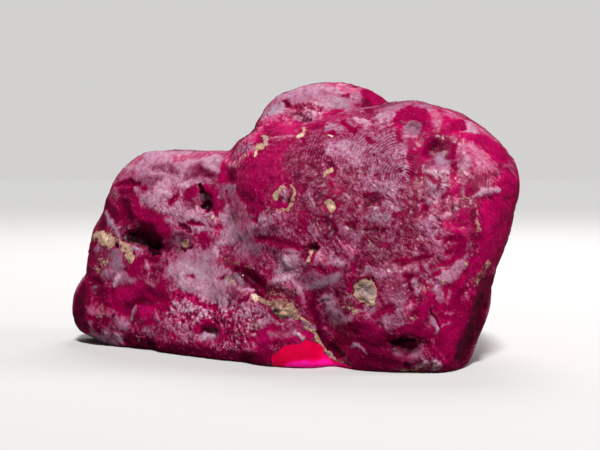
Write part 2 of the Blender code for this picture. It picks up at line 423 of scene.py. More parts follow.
# The large milky and pale strokes on the ridge are painted light over the shade that falls there, a small
# pale stroke on the lilac is painted glints, and the darkest stroke in the trough and the dusk and black
# strokes are painted shade.
MIDDLE_PX = strokes("""
lilac: 244 248 7, 258 250 7
rosy: 266 256 6, 276 262 6
milky: 290 262 13, 282 277 10, 300 286 8
pale: 290 264 9, 296 273 8, 286 280 6
crimson crease: 266 270 1.8, 272 272 1.5
pale: 268 268 1.4
pit crimson: 312 249 8
dusk: 312 246 5, 316 251 4
brown: 311 250 2.6
tan: 309.5 252 1.6, 310 255 1.4
cream: 308.5 259 2.8
maroon: 306 248 2, 305 256 2
rosy: 322 262 6, 318 252 4
pink: 328 270 3
crimson: 320 270 4, 330 277 5, 338 273 4
mauve smooth: 308 280 9, 334 280 8
slate: 312 286 5, 338 278 4
crimson: 228 262 4, 242 266 5
brown: 225 259 4, 238 263 5
sandy: 236 264 2.4, 254 266 2
deep dip clear: 238 270 6, 248 275 9, 257 284 10, 263 294 7
crimson clear: 243 268 5, 254 274 6, 262 284 6, 266 292 4
plum clear: 238 278 5, 247 287 5
slate: 237 275 3.4, 243 282 3.4
dusk: 222 279 5, 240 275 5, 250 285 6, 258 293 5
dusk: 228 279 5, 238 279 6, 246 283 5
brown: 229 279 5, 234 283 4
sandy: 229 280 3, 234 284 2.6
maroon smooth: 222 280 2.4, 225 275 1.5
violet smooth: 226 271 2, 222 266 1.6
plum smooth: 224 290 6, 238 294 7
plum smooth: 236 292 5
violet ridge smooth: 240 288 1.6, 247 292 1.6, 252 294 1.4
maroon crease: 240 303 1.3, 248 300 1.6, 251 295 1.4
cream: 254 300 3, 259 298 2.6
olive: 263 300 3.4, 270 303 3.4
brown: 272 292 7, 292 292 8
dusk dip: 270 290 6, 280 291 8, 294 293 7
brown: 270 296 7, 284 302 9, 296 312 7
dusk: 272 284 6, 286 286 6, 298 305 5
black: 284 291 2.4
maroon: 268 292 4, 296 301 4
olive ridge: 278 306 7, 284 310 8, 289 314 6
tan: 287 313 5, 279 306 4
slate: 279 309 2.6
violet: 291 318 3.4
pale: 266 314 1.4, 282 324 2
brown: 303 300 4
maroon: 312 296 3
rosy: 285 285 3, 298 288 3
plum: 300 306 5, 306 313 5
dusk: 304 310 4
maroon dip smooth: 313 304 4, 315 320 4, 321 334 5
milky smooth: 328 300 7, 334 312 7
violet smooth: 329 298 4
rose: 334 323 6, 346 322 6
brown: 346 304 4, 357 311 5
sandy: 344 307 2, 356 311 3.4
dusk crease: 346 304 1.2, 354 305 1.4
lilac: 350 297 4, 344 299 3
milky: 340 320 8, 349 322 6
crimson: 354 264 3, 353 278 3, 350 290 2.4
crimson: 366 262 3, 376 268 4, 382 274 3
slate: 366 268 4, 370 276 3
lilac: 369 272 6, 390 274 10, 392 288 8
dip: 364 291 14
maroon: 356 281 3, 368 279 3, 377 285 3
dusk: 360 280.5 2, 372 281.5 2
tan: 363 288 9, 368 294 10
tan ridge: 357 294 4, 373 299 4
stone: 363 290 7, 369 294 6
dusk: 371 290 1.2, 358 288 1, 364 294 1
cream: 372 301 2.6, 358 296 2
slate: 364 306 3, 372 308 4
""")
# The pale, milky, rich and brightest rosy strokes over the belly lift it as painted light against the shade
# of the ledge above, the black and dusk strokes are painted shade in the pit, and the maroon and dusk strokes
# along the foot are painted contact shade.
BELLY_PX = strokes("""
violet smooth: 190 268 8, 208 272 8
milky smooth: 186 276 8, 200 284 8
milky smooth: 176 270 9, 206 284 10, 222 290 8
crimson dip: 155 271 3, 163 272 3
rose ridge: 149 263 3, 148 280 2
haze: 153 282 6, 160 268 4
pale ridge: 182 276 2.4, 181 284 3
pale: 190 268 2, 197 272 2.4
crimson crease: 186 279 1.2, 194 278 1.2
pale smooth: 186 284 6, 202 290 6
crimson smooth: 146 290 6, 158 296 7, 164 284 4
pink grain: 176 293 4, 192 300 4, 206 306 4, 216 310 3
rose grain: 176 312 11, 190 318 12
milky grain: 178 308 6, 198 306 5
milky grain: 208 312 11, 234 322 14
milky: 222 312 5, 246 314 8
rose: 226 314 6, 240 314 6
pink: 180 293 4, 200 302 4, 218 311 4
pale smooth: 188 286 7, 206 293 8, 224 299 6
bare grain: 206 322 4, 226 328 4, 234 338 4
lilac grain: 246 316 7, 256 316 6
milky: 252 310 9, 264 318 7
warm grain: 222 318 9, 236 328 12, 252 338 10
milky: 206 349 4
rich: 180 308 16, 236 322 18
pale: 248 315 2, 263 325 2
dip crimson clear: 208 334 12
crimson clear: 197 330 3.4, 208 323 3.4, 221 330 3.4
black: 201 330 2, 208 328.5 2.6, 217 331.5 2.4
slate clear: 202 336 4.4, 213 336 5
dusk: 200 332 4, 209 331 5, 218 334 4
pale clear: 204 335 2.2, 213 334 1.6
plum: 206 341 2.6
violet clear: 211 345 4
crimson ridge smooth: 219 326 3.4, 224 336 4, 218 346 3
pale: 202 346 2
rose grain: 190 344 3, 222 348 4
sandy: 255 324 2.4, 256 332 2
bare smooth: 174 338 4
brown: 172 341 4, 180 341 3
maroon: 130 340 7, 165 348 7, 210 354 7, 250 360 6
dusk: 136 345 4, 160 349 6, 190 353 5
warm: 236 342 8, 256 346 8
crimson: 262 352 4
maroon smooth: 240 358 5, 264 358 6
""")
# The darkest stroke at the toe's left is painted shade, the black and dusk strokes are painted shade in its
# holes, the pink, milky and pale strokes along its foot are painted light where it curves under, and the pale
# ridge is a painted highlight.
TOE_PX = strokes("""
deep smooth: 80 292 12, 74 314 10
pink: 84 333 5, 96 339 6, 116 342 5
maroon smooth: 88 274 6, 105 296 9
slate clear: 94 283 7, 99 291 7
black: 94 284 5, 98 291 5
maroon smooth: 89 297 2.4, 92 302 3
lilac smooth: 106 272 5, 122 280 7, 134 282 5
pale ridge smooth: 119 276 2.6, 116 284 3
pink smooth: 122 294 7, 136 288 7
maroon smooth: 128 306 4, 140 302 4, 150 304 5
pink smooth: 146 313 6, 150 312 5
crimson smooth: 150 322 4
crimson smooth: 88 318 5, 98 324 6, 106 320 3
rosy smooth: 92 311 5, 98 308 3
rose smooth: 92 322 2.4, 95 332 3, 98 336 3
sandy: 104 331 2.6, 104 337 3
brown: 103 303 2.4, 97 340 3
dusk smooth: 113 316 4, 110 327 3
black: 113 316 2.4
lilac smooth: 119 322 6, 126 328 4
crimson smooth: 122 312 5, 118 303 6
slate ridge: 136 309 3, 132 320 3
violet: 129 324 2.4
rose: 157 311 2, 157 317 2
sandy: 157 318 2
sandy: 138 338 2, 139 341 1.6
haze: 150 330 7, 164 330 6
lilac: 146 328 3, 150 336 2
milky: 118 339 6, 100 342 5
pale: 92 334 5, 100 337 5, 108 333 5
""")
# The rosy strokes along the top edge are painted rim light, and the dusk strokes are painted shade in the
# sockets.
SOCKETS_PX = strokes("""
rosy smooth: 392 106 6, 420 106 5
rosy smooth: 450 113 7, 480 129 8, 504 154 8
lilac smooth: 402 107 6, 426 109 6
magenta smooth: 446 114 8, 474 130 8
lilac smooth: 392 110 6, 402 104 3, 420 107 3
dip: 412 126 14
crimson clear: 399 126 5.5, 402 117 6.5, 411 113 6, 421 117 7, 426 127 5.5
lilac clear: 412 128.5 11
slate clear: 413 128 9
mauve smooth: 412 123 2, 414 130 1.6
rose ridge smooth: 404 136 2, 416 136 2
crimson: 398 134 2.4, 400 141 2.6
bare smooth: 428 118 3, 428 128 3
sandy: 425 136 2.4, 429 134 1.6
rose: 437 118 5, 436 130 5
crimson smooth: 454 126 3, 461 125 3
milky smooth: 465 128 7, 472 131 6
crimson clear: 453 126 5, 460 126 5
rose smooth: 446 110 6, 462 117 5
rose smooth: 482 131 7, 498 146 7
pink smooth: 452 134 3, 470 136 3
bare smooth: 480 142 7, 497 152 7
rose smooth: 462 144 6, 463 156 7, 466 168 7
lilac: 464 165 7
rosy smooth: 484 158 7
rose smooth: 472 150 9, 486 168 9
crimson smooth: 503 150 4, 504 160 5
dip: 433 150 13
crimson clear: 413 146 6, 412 158 6, 414 171 6, 419 183 6
bare clear: 415 144 6, 421 151 9, 417 160 6
crimson clear: 428 141 6, 426 150 8, 416 162 6, 413 174 6
crimson clear: 430 139 5, 442 139 5, 451 147 6, 452 156 5
maroon smooth: 436 143 3.4, 444 145 3.4
haze smooth: 434 147 2
dusk: 440 145 2.4
slate clear: 443 158 6, 448 162 4
dusk: 434 148 5, 446 151 3
sandy: 432 159 2.2, 437 159 2.2
plum clear: 424 169 6, 434 165 8, 446 162 8
lilac clear: 426 172 4, 437 173 5, 449 171 4
plum smooth: 432 164 4
crimson clear: 413 172 6, 417 183 6
crimson crease: 424 175 1.6, 432 180 1.6, 440 188 1.6
slate: 428 184 4, 434 190 4
maroon dip: 438 188 3, 442 195 3
sandy: 439.5 190 2.4
lilac: 430 198 6, 447 186 4, 444 176 4
pink: 453 178 5, 456 188 5, 456 198 4
ripply: 490 182 12
crimson: 468 186 4, 470 192 4, 484 178 4
sandy: 476 184 1.6, 477 190 1.4
milky ridge: 474 196 3, 482 192 4, 498 190 3.4
rosy: 488 184 3, 498 178 3
sandy: 463 198 3, 470 199 2
brown: 449 204 3, 453 206 2
rosy: 434 206 4, 440 207 3
crimson: 424 206 4, 424 214 4
plum: 456 207 3, 451 209 3
""")
# The darkest strokes low on the right flank and the dusk strokes are painted shade, and some of the small
# pale strokes are painted glints.
RIGHT_PX = strokes("""
bare smooth: 508 180 8, 506 205 9, 500 230 8
pink smooth: 484 205 5, 488 218 8, 488 240 5
pink smooth: 450 226 6, 462 228 8
bare smooth: 462 214 5, 468 224 5
rose smooth: 444 220 3, 450 214 3
pale smooth: 458.5 214 1.6
sandy: 475 208 2.4, 475 220 2.6, 479 230 3
maroon: 472 213 2.4, 472 218 2
lilac: 424 226 7, 434 222 7, 430 236 7
plum: 408 218 5, 415 232 5
haze: 408 250 7, 422 249 7, 438 250 7
crimson dip: 446 239 3.4, 460 241 3.4
sandy: 446 246 2
crimson smooth: 456 250 5, 464 246 5, 456 258 4
haze: 472 246 6, 468 256 5
rose grain: 447 252 2.4, 446 258 2
crimson dip clear: 430 258 4, 416 261 5, 402 264 6, 392 265 4
haze smooth: 390 268 8, 398 278 8, 388 290 7
plum smooth: 398 288 7
haze smooth: 384 284 5
haze: 405 268 4, 426 268 6
pale: 406 269 2
maroon dip smooth: 406 276 3.4, 412 277 3.4
maroon crease: 408 282 1.8, 408 291 2
slate: 414 284 4, 416 291 3
crimson smooth: 444 266 6, 456 262 5
lilac clear: 461 266 6, 450 276 6
tan: 466.5 264 2.4
lilac: 446 276 5, 436 284 7, 440 296 5
crimson: 436 275 3, 442 273 2
tan: 443 281 1.8, 443 284 1.6
brown: 422 277 3
crimson ridge smooth: 462 280 5, 456 296 5, 450 306 4
rose grain: 468 284 4, 466 298 4
rose: 450 292 3, 448 302 2.4
bare: 475 260 6, 470 272 5
brown: 487 264 4, 481 274 4, 477 286 3
olive: 487 264 3, 480 275 3
brown: 483 270 5, 477 284 4
dusk: 479 268 2.4
deep clear: 484 308 8, 480 320 10, 474 340 10, 464 360 9
dusk: 468 364 5, 460 370 4
crimson ridge smooth: 422 290 3, 432 300 4, 444 314 4
maroon crease: 424 288 1.2, 434 299 1.4, 444 312 1.4
pink: 431 296 2
pale: 437 298 1.4, 440 305 1.2
rose: 447 314 3, 454 313 2.4
bare: 452 328 8, 450 345 8
rose: 448 324 2.4, 443 328 1.6
""")
# The black crease, the black and dusk strokes in the hollows and the maroon strokes along the foot are
# painted shade, and the small pale stroke is a painted glint.
BASE_PX = strokes("""
crimson ridge smooth: 424 304 5, 421 318 5
slate: 428 316 2, 432 323 2.8, 436 330 3
crease black: 429 310 1.2, 435 319 1.6, 440 327 1.6
pale: 436.5 330 1.6
sandy: 411 318 2.6, 416 317 2.4
brown: 415 319 3.4
crimson dip smooth: 378 312 3, 386 309 4, 395 305 3
lilac: 388 321 7, 402 322 5, 398 299 8
lilac: 441 300 5
plum: 378 326 4, 392 332 4
rosy: 411 302 4, 410 312 3
crimson smooth: 404 330 5, 416 328 6, 425 332 5
dip: 408 346 14
plum clear: 398 352 10, 416 353 10
slate smooth: 414 353 6
dusk: 392 349 8, 406 351 10, 418 349 7
black: 393 344 4, 402 340 5, 414 340 4
sandy: 421 341 3, 425 344 2
sandy: 429 348 1.8, 431 354 1.6
crimson ridge smooth: 430 338 2.4, 438 351 3, 446 364 3
rose crease: 431 338 1, 439 352 1, 445 360 1
maroon crease: 404 362 1.6, 410 370 1.8
milky grain: 422 363 6, 436 365 6
sandy: 400 370 2.4, 442 366 2
crimson smooth: 352 326 5, 366 330 7, 382 336 5
plum: 340 330 5, 352 334 4
maroon smooth: 340 338 5, 356 344 5, 384 345 5
dusk: 372 346 2.4, 386 347 3
maroon smooth: 372 356 8, 384 362 8, 396 362 5
slate: 352 346 2, 358 347 1.6, 367 352 2
dusk smooth dip: 332 346 4, 342 354 5
black smooth: 332 346 2.4, 343 355 3
bare smooth: 340 346.5 1.8, 348 349 1.6
bare clear: 352 354 6, 360 363 7, 368 369 5
""")
# The chip strokes give the chip its bright hot pink and a painted glow of light shining through it, and the
# small pale strokes at its foot are painted glints.
CHIP_PX = strokes("""
bare smooth: 262 334 4, 276 330 4
pink smooth: 264 338 6, 280 337 6, 296 340 4
rosy smooth: 272 336 5, 290 336 4
crimson smooth: 264 348 6, 268 357 4
chip red: 278 360 7, 289 355 9, 305 350 9, 317 351 8
chip: 282 364 6, 304 361 10, 320 360 9, 336 365 5, 352 370 4
chip rich: 292 367 5, 308 366 6, 326 366 7, 342 370 5
pale: 303 363.5 1.6, 311 363 1.6
pale ridge: 297 332 3, 303 339 2
pink smooth: 306 336 4, 312 338 3
""")
# The darkest stroke is painted shade beside the seam.
SEAM_PX = strokes("""
deep clear: 320 334 4, 328 345 5, 338 355 4
brown: 303 322 5, 310 330 4
tan: 303 320 3, 307 327 3, 314 334 2.4
tan: 317 337 3, 321 345 2.6, 326 350 2
stone: 330 353 3, 335 358 2
tan: 336 360 2, 346 364 1.8, 356 370 1.6
slate: 302 322 2, 311 328 1.6
""")
# Touches that lie over marks of several of these lists. The maroon, dusk and darkest touches are painted
# shade.
OVER_PX = strokes("""
maroon clear: 94 284 10, 99 291 9
dusk: 94 283 9, 99 291 8
brown: 268 294 6, 284 300 8, 296 308 6
olive: 290 306 4, 296 316 4
tan: 366 291 11
stone: 367 291 8
cream: 359 287 2.4, 370 300 2.4
dusk: 372 288 2, 364 294 1.4
slate clear: 441 161 6, 447 163 4
lilac clear: 430 171 5, 448 170 5
milky: 280 96 6, 300 90 5
deep clear: 482 300 9, 476 330 9, 470 352 8
""")
PLACED_PX = [
    *BASES_PX, *FACE_PX, *SHOULDER_PX, *SECOND_HOLE_PX, *CROWN_PX, *MIDDLE_PX, *BELLY_PX, *TOE_PX,
    *SOCKETS_PX, *RIGHT_PX, *BASE_PX, *CHIP_PX, *SEAM_PX, *OVER_PX,
]

FIELDS = ("skin", "tone", "cool", "rock", "rock_tone", "hollow_shade", "grain", "ripple", "chip", "height")
FIELD_START = {"skin": 0.15, "tone": -0.1, "grain": 0.40, "height": 0.55}
HIDDEN_SKIN = 0.9
HIDDEN_SKIN_MM = 26
HIDDEN_SKIN_SEED = 5
# How widely and how deeply crevices are measured, for their painted shade and worn skin
CAVITY_ROUNDS = 14
CAVITY_MM = 0.35


def vectors(mesh, what, name="co"):
    """One row per element of a mesh's vertices or vertex normals."""
    flat = np.empty(len(what) * 3)
    what.foreach_get(name, flat)
    return flat.reshape(-1, 3)


def camera_axes():
    """The camera's right, up and forward directions."""
    drop = (math.cos(CAMERA_DROP), math.sin(CAMERA_DROP))
    return np.array(((1, 0, 0), (0, drop[1], drop[0]), (0, drop[0], -drop[1])))


def pixels_of(places):
    """Where points of the stone fall in the photograph's frame."""
    across, up, ahead = camera_axes() @ (places - np.array(CAMERA_PLACE_MM) * MM).T
    middle = np.array(FRAME_PX) / 2
    return np.stack((middle[0] + FOCAL_PX * across / ahead, middle[1] - FOCAL_PX * up / ahead), 1)


def fine_copy(node):
    """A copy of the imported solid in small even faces, its facets smoothed away."""
    obj = bpy.data.objects.new("ruby_skin", node.data.copy())
    bpy.context.scene.collection.objects.link(obj)
    remesh = obj.modifiers.new("even_faces", "REMESH")
    remesh.mode = "VOXEL"
    remesh.voxel_size = COARSE_MM * MM
    smooth = obj.modifiers.new("soften", "SMOOTH")
    smooth.iterations = FACET_ROUNDS
    evaluated = obj.evaluated_get(bpy.context.evaluated_depsgraph_get())
    mesh = bpy.data.meshes.new_from_object(evaluated)
    obj.modifiers.clear()
    obj.data = mesh
    return obj


def smoothstep(value, low, high):
    share = np.clip((value - low) / (high - low), 0, 1)
    return share * share * (3 - 2 * share)


def edge_pairs(mesh):
    pairs = np.empty(len(mesh.edges) * 2, dtype=np.int64)
    mesh.edges.foreach_get("vertices", pairs)
    return pairs.reshape(-1, 2)


def blurred(values, pairs, rounds):
    """Values at the vertices, averaged over their neighbours for some rounds."""
    count = np.bincount(pairs.ravel(), minlength=len(values)).astype(float)
    for _ in range(rounds):
        total = np.bincount(pairs[:, 0], values[pairs[:, 1]], len(values))
        total += np.bincount(pairs[:, 1], values[pairs[:, 0]], len(values))
        values = (values + total / count) / 2
    return values


def shown(mesh, pairs):
    """1 where a vertex faces the camera with nothing in the way, 0 where it is hidden."""
    places = vectors(mesh, mesh.vertices)
    normals = vectors(mesh, mesh.vertices, "normal")
    eye = np.array(CAMERA_PLACE_MM) * MM
    sight = eye - places
    sight /= np.linalg.norm(sight, axis=1)[:, None]
    facing = smoothstep((normals * sight).sum(1), *FACING_EDGE)
    tree = BVHTree.FromPolygons([v.co for v in mesh.vertices], [p.vertices for p in mesh.polygons])
    starts = places + normals * CLEARANCE_MM * MM
    for i in np.flatnonzero(facing):
        if tree.ray_cast(Vector(starts[i]), Vector(sight[i]))[0] is not None:
            facing[i] = 0
    return blurred(facing, pairs, SIGHT_ROUNDS)


def nearness(places, path):
    """1 on a stroke's middle line, 0 at its edge and below 0 outside it."""
    stops = [np.array(stop, dtype=float) for stop in (path if len(path) > 1 else path * 2)]
    best = np.full(len(places), FAR_OUTSIDE)
    for start, end in zip(stops, stops[1:]):
        along = end[:-1] - start[:-1]
        share = np.clip((places - start[:-1]) @ along / max(along @ along, 1e-12), 0, 1)
        gap = np.linalg.norm(places - start[:-1] - share[:, None] * along, axis=1)
        best = np.maximum(best, 1 - gap / (start[-1] + share * (end[-1] - start[-1])))
    return best


def under(places, path):
    """The points in the box that holds a stroke."""
    stops = np.array(path)
    reach = stops[:, -1].max() * BOX_MARGIN
    low = stops[:, :-1].min(axis=0) - reach
    high = stops[:, :-1].max(axis=0) + reach
    return np.flatnonzero(((places > low) & (places < high)).all(axis=1))


def press(fields, words, places, path, share, half_mm):
    """Pulls the fields under one stroke to what its words ask for."""
    here = under(places, path)
    near = nearness(places[here], path)
    crisp = CRISP_MARKS & set(words.split())
    weight = smoothstep(near, *(CRISP_EDGE if crisp else SOFT_EDGE)) * share[here]
    bowl = smoothstep(near, *BOWL_EDGE) * share[here]
    for word in words.split():
        for name, target in TARGETS[word].items():
            pull = bowl if name == "hollow_shade" else weight
            fields[name][here] += (target - fields[name][here]) * pull
        fields["height"][here] += DEPTHS.get(word, 0) * half_mm * bowl


def place_marks(fields, places, seen):
    """Presses in the strokes that follow the photograph."""
    spots = pixels_of(places) + strayed(places, PLACED_STRAY_PX)[:, :2]
    for words, path in PLACED_PX:
        press(fields, words, spots, path, seen, np.mean([stop[-1] for stop in path]) * PX_MM)


def wander(places, size, seed):
    """Smooth random vectors, about -0.5 to 0.5, that change over the given size."""
    shift = Vector([seed * step for step in SEED_STEP])
    return np.array([noise.turbulence_vector(Vector(p) / size + shift, OCTAVES, False) for p in places])


def strayed(places, strays):
    """How far each place strays, for wanderings of several sizes together."""
    return sum(wander(places, size * MM, seed) * reach for size, reach, seed in strays)


def lumps(places, size, seed, octaves=OCTAVES):
    """Smooth random heights, about -1 to 1, that change over the given size."""
    shift = Vector([seed * step for step in SEED_STEP])
    return np.array([noise.fractal(Vector(p) / size + shift, 1.0, 2.0, octaves) for p in places])


PIT_BEND = 0.9
PIT_SEED_STEP = 3.7
PIT_EDGE = (0.05, 0.75)


def dimples(places, size, seed):
    """Rounded pits of about the given size with ridges between them: 1 in a pit, 0 on a ridge."""
    bent = places / size + wander(places, size, seed) * PIT_BEND + seed * PIT_SEED_STEP
    near = np.array([noise.voronoi(Vector(p))[0][0] for p in bent])
    return 1 - smoothstep(near, *PIT_EDGE)


FURROW_EDGE = (0.0, 0.13)
FURROW_PATCH = 2.5
FURROW_FADE = (-0.15, 0.25)


def creases(places, size, seed):
    """Narrow winding furrows of about the given spacing, which come and go: 1 in a furrow, 0 outside."""
    line = 1 - smoothstep(np.abs(lumps(places, size, seed, OCTAVES + 1)), *FURROW_EDGE)
    return line * smoothstep(lumps(places, FURROW_PATCH * size, seed + 1), *FURROW_FADE)


def refine(obj, chosen):
    """Cuts the chosen faces into four."""
    shape = bmesh.new()
    shape.from_mesh(obj.data)
    shape.faces.ensure_lookup_table()
    edges = {edge.index: edge for i in chosen for edge in shape.faces[i].edges}
    bmesh.ops.subdivide_edges(shape, edges=list(edges.values()), cuts=1, use_grid_fill=True)
    shape.to_mesh(obj.data)
    shape.free()
    obj.data.update()


def face_means(mesh, values):
    return np.array([values[list(p.vertices)].mean() for p in mesh.polygons])


# The side that the photograph hides gets marks of the same kinds at random:
# words, half width in mm and share of the marks.
HIDDEN_KINDS = [
    ("lilac smooth", 5.0, 0.16), ("rose grain", 3.5, 0.12), ("bare smooth", 4.5, 0.12), ("maroon", 3.0, 0.10),
    ("crimson dip", 2.2, 0.10), ("pale", 1.6, 0.07), ("slate", 1.4, 0.06), ("ripple", 6.0, 0.04),
    ("maroon crease", 0.8, 0.08), ("pit maroon", 2.2, 0.05), ("pit black", 1.3, 0.03), ("tan", 0.7, 0.06),
    ("cream", 0.7, 0.02), ("olive", 1.0, 0.03), ("pink smooth", 2.4, 0.06), ("ridge lilac", 1.6, 0.05),
]
HIDDEN_MARKS = 420
HIDDEN_ENOUGH = 0.5
HIDDEN_SIZES = (0.6, 1.6)
HIDDEN_STRIDE = 2.2
HIDDEN_TAPER = (0.6, 1.1)
HIDDEN_STOPS = 3


def scatter_marks(fields, places, seen, draw):
    """Marks of the same kinds on the sides that the photograph hides."""
    hidden = 1 - seen
    kinds = [kind for kind, _, _ in HIDDEN_KINDS]
    shares = [share for _, _, share in HIDDEN_KINDS]
    sizes = {kind: size for kind, size, _ in HIDDEN_KINDS}
    order = {kind: rank for rank, kind in enumerate(kinds)}
    spots = np.flatnonzero(hidden > HIDDEN_ENOUGH)
    chosen = sorted(draw.choices(kinds, shares, k=HIDDEN_MARKS), key=order.get)
    wobbly = places + strayed(places, HIDDEN_STRAY_MM) * MM
    for kind in chosen:
        half = sizes[kind] * draw.uniform(*HIDDEN_SIZES) * MM
        here = places[spots[draw.randrange(len(spots))]]
        path = [(*here, half)]
        for _ in range(draw.randrange(HIDDEN_STOPS)):
            stride = [draw.uniform(-HIDDEN_STRIDE, HIDDEN_STRIDE) for _ in here]
            here = here + np.array(stride) * half
            path.append((*here, half * draw.uniform(*HIDDEN_TAPER)))
        press(fields, kind, wobbly, path, hidden, half / MM)


def cut_finer(obj):
    """Cuts the faces that the camera sees, and then those under fine marks again."""
    mesh = obj.data
    refine(obj, np.flatnonzero(face_means(mesh, shown(mesh, edge_pairs(mesh))) > SEEN_SHARE))
    spots = pixels_of(vectors(mesh, mesh.vertices))
    fine = np.full(len(mesh.vertices), FAR_OUTSIDE)
    for words, path in PLACED_PX:
        if FINE_MARKS & set(words.split()) and max(stop[-1] for stop in path) < LARGEST_FINE_PX:
            fine = np.maximum(fine, nearness(spots, path))
    wanted = (fine > FINE_REACH) * shown(mesh, edge_pairs(mesh))
    refine(obj, np.flatnonzero(face_means(mesh, wanted) > FINE_SHARE))


def marked(mesh, places, pairs):
    """The fields with every mark pressed into them."""
    seen = shown(mesh, pairs)
    fields = {name: np.full(len(places), FIELD_START.get(name, 0.0)) for name in FIELDS}
    fields["skin"] += HIDDEN_SKIN * lumps(places, HIDDEN_SKIN_MM * MM, HIDDEN_SKIN_SEED) * (1 - seen)
    scatter_marks(fields, places, seen, random.Random(MARK_SEED))
    place_marks(fields, places, seen)
    return fields


# The relief of the whole surface. A share of it is everywhere, and the rest only where the grain is rough.
Relief = namedtuple("Relief", "shape height_mm size_mm seed everywhere")
RELIEF = [
    Relief(lumps, 0.80, 12, 31, 0.4), Relief(dimples, -0.90, 8, 41, 0.2), Relief(lumps, 0.45, 4.5, 32, 0.0),
    Relief(dimples, -0.45, 3.4, 42, 0.0), Relief(creases, -0.60, 9, 51, 0.3),
]
CRUMBS = Relief(lumps, 0.20, 1.7, 33, 0.0)
MARK_ROUNDS = 2
SMOOTH_SHARE = 0.15
ROUGH_SHARE = 0.65
CHIP_FLATNESS = 0.9


def raised(fields, places, pairs):
    """The surface's heights in mm: those of the marks, softened, and the relief over them."""
    height = blurred(fields["height"], pairs, MARK_ROUNDS)
    rough = SMOOTH_SHARE + ROUGH_SHARE * fields["grain"]
    for relief in (*RELIEF, CRUMBS):
        extra = relief.height_mm * relief.shape(places, relief.size_mm * MM, relief.seed)
        extra *= relief.everywhere + (1 - relief.everywhere) * rough
        height += extra * (1 + fields["rock"]) if relief is CRUMBS else extra
    return height * (1 - CHIP_FLATNESS * fields["chip"])


def carve(obj):
    """Marks and carves the surface. Returns the fields."""
    cut_finer(obj)
    mesh = obj.data
    pairs = edge_pairs(mesh)
    places = vectors(mesh, mesh.vertices)
    normals = vectors(mesh, mesh.vertices, "normal")
    fields = marked(mesh, places, pairs)
    height = raised(fields, places, pairs)
    del fields["height"]
    # How far each place lies below the surface round it: the material paints shade there and thins the skin.
    fields["cavity"] = np.clip((blurred(height, pairs, CAVITY_ROUNDS) - height) / CAVITY_MM, -1, 1)
    places += normals * height[:, None] * MM
    mesh.vertices.foreach_set("co", places.ravel())
    mesh.update()
    return fields


def keep_inside(obj, low, high):
    """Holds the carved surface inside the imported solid's box."""
    places = vectors(obj.data, obj.data.vertices)
    places = np.clip(places, np.array(low), np.array(high))
    obj.data.vertices.foreach_set("co", places.ravel())
    obj.data.update()


def store(mesh, fields):
    """Keeps the fields on the mesh for the material to read."""
    for name, values in fields.items():
        layer = mesh.attributes.new(name, "FLOAT", "POINT")
        layer.data.foreach_set("value", values.astype(np.float32))


class Graph:
    """A material's nodes. Each call adds one node and returns its result."""

    def __init__(self, name):
        self.material = bpy.data.materials.new(name)
        self.material.use_nodes = True
        self.tree = self.material.node_tree
        self.tree.nodes.clear()
        self.coords = self.add("ShaderNodeTexCoord").outputs["Object"]

    def add(self, kind, inputs=None, **settings):
        node = self.tree.nodes.new(kind)
        for name, value in settings.items():
            setattr(node, name, value)
        for key, value in (inputs or {}).items():
            self.feed(node.inputs[key], value)
        return node

    def feed(self, socket, value):
        if isinstance(value, bpy.types.NodeSocket):
            self.tree.links.new(value, socket)
        else:
            socket.default_value = value

    def field(self, name):
        return self.add("ShaderNodeAttribute", attribute_name=name).outputs["Fac"]

    def cloud(self, size_mm, detail=4.0, rough=0.55, bend=0.0, where=None):
        """Cloudy values about 0.5, in blotches of the given size."""
        inputs = {"Vector": where or self.coords, "Scale": 1 / (size_mm * MM), "Detail": detail,
                  "Roughness": rough, "Distortion": bend}
        return self.add("ShaderNodeTexNoise", inputs).outputs["Fac"]

    def cells(self, size_mm):
        """For the nearest of scattered points, its distance in shares of their spacing and its colour."""
        inputs = {"Vector": self.coords, "Scale": 1 / (size_mm * MM)}
        return self.add("ShaderNodeTexVoronoi", inputs).outputs

    def math(self, operation, first, second=0.0, third=0.0):
        node = self.add("ShaderNodeMath", {0: first, 1: second, 2: third}, operation=operation)
        return node.outputs[0]

    def times(self, first, second):
        return self.math("MULTIPLY", first, second)

    def plus(self, value, extra, gain=1.0):
        """value + extra * gain"""
        return self.math("MULTIPLY_ADD", extra, gain, value)

    def total(self, value, *parts):
        """The value and each part times its gain, added up."""
        for extra, gain in parts:
            value = self.plus(value, extra, gain)
        return value

    def step(self, value, low, high):
        """0 below low, 1 above high, smooth between."""
        inputs = {"Value": value, "From Min": low, "From Max": high}
        return self.add("ShaderNodeMapRange", inputs, interpolation_type="SMOOTHSTEP").outputs[0]

    def ramp(self, value, stops):
        node = self.add("ShaderNodeValToRGB", {"Fac": value})
        ends = node.color_ramp.elements
        while len(ends) < len(stops):
            ends.new(1.0)
        for element, (place, colour) in zip(ends, stops):
            element.position = place
            element.color = (*colour, 1.0)
        return node.outputs["Color"]

    def mix(self, share, first, second):
        return self.add("ShaderNodeMix", {0: share, 6: first, 7: second}, data_type="RGBA").outputs[2]

    def surface(self, shader):
        """The finished material."""
        output = self.add("ShaderNodeOutputMaterial")
        self.tree.links.new(shader.outputs[0], output.inputs["Surface"])
        return self.material


# Colours, linear. Each ramp runs from the darkest to the brightest.
RUBY = [(0.0, (0.06, 0.0003, 0.012)), (0.25, (0.15, 0.0004, 0.027)), (0.5, (0.32, 0.0006, 0.061)),
        (0.75, (0.56, 0.002, 0.115)), (1.0, (0.84, 0.06, 0.25))]
